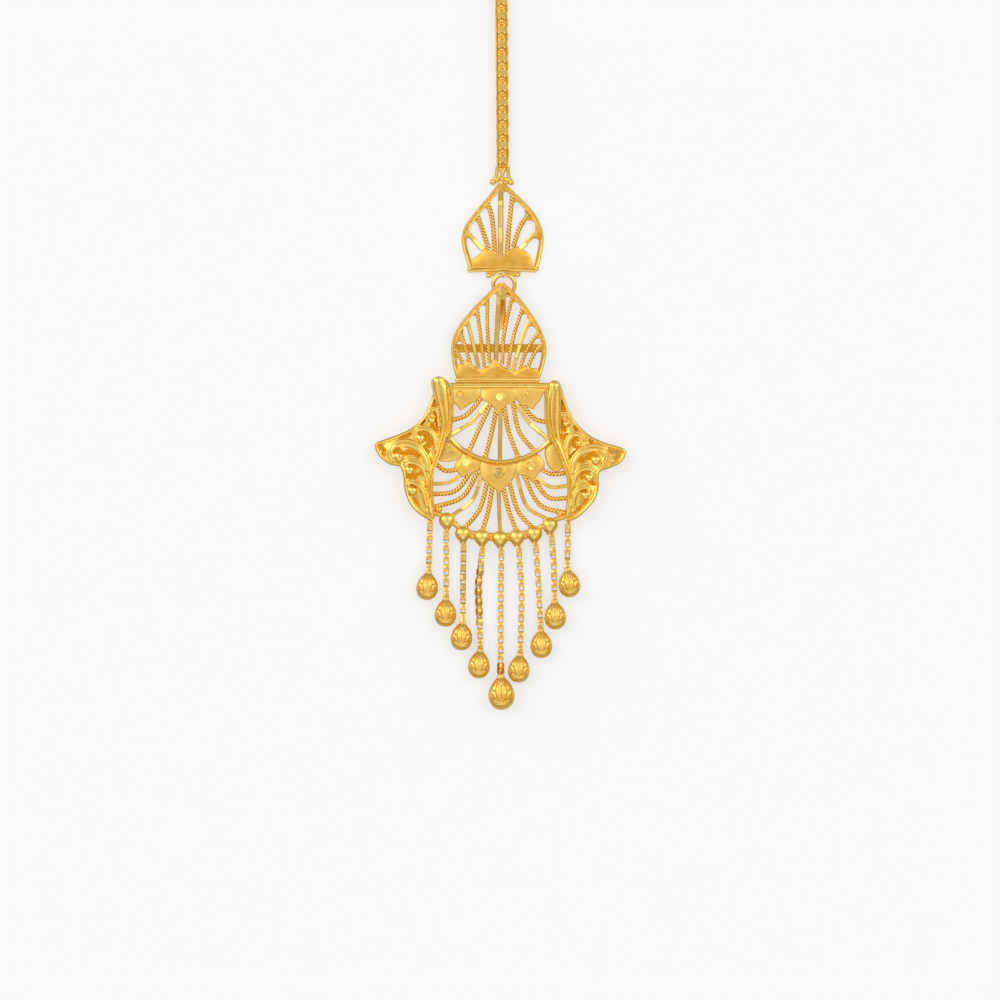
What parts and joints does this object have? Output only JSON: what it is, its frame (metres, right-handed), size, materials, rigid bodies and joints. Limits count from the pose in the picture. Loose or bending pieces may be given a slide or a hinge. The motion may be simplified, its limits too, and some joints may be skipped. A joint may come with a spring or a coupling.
{
  "type": "maang tikka",
  "caption": "Gold hair ornament: openwork fan pendant with scrolled side wings under two leaf frames, a fringe of pear drops on box chains, a head chain and a plain wire hook.",
  "frame": {"origin": "middle of the underside of the bounding box of the ornament lying face up at full length", "axes": "+Z out of the front, +Y along the ornament from the drops to the hook, +X to the right seen from the front"},
  "size_m": [0.036, 0.1152, 0.0032],
  "materials": {
    "polished_gold": "polished yellow gold",
    "satin_gold": "satin yellow gold with a fine grain",
    "chain_gold": "polished yellow gold, fine box links"
  },
  "bodies": {
    "root": {"hair_hook": "polished_gold", "head_chain": "chain_gold", "top_leaf": "polished_gold", "jump_ring": "polished_gold", "pendant": "polished_gold", "drop_chain_1": "chain_gold", "drop_chain_2": "chain_gold", "drop_chain_3": "chain_gold", "drop_chain_4": "chain_gold", "drop_chain_5": "chain_gold", "drop_chain_6": "chain_gold", "drop_chain_7": "chain_gold", "drop_chain_8": "chain_gold", "drop_chain_9": "chain_gold", "drop_1": "satin_gold", "drop_2": "satin_gold", "drop_3": "satin_gold", "drop_4": "satin_gold", "drop_5": "satin_gold", "drop_6": "satin_gold", "drop_7": "satin_gold", "drop_8": "satin_gold", "drop_9": "satin_gold"}
  },
  "joints": []
}
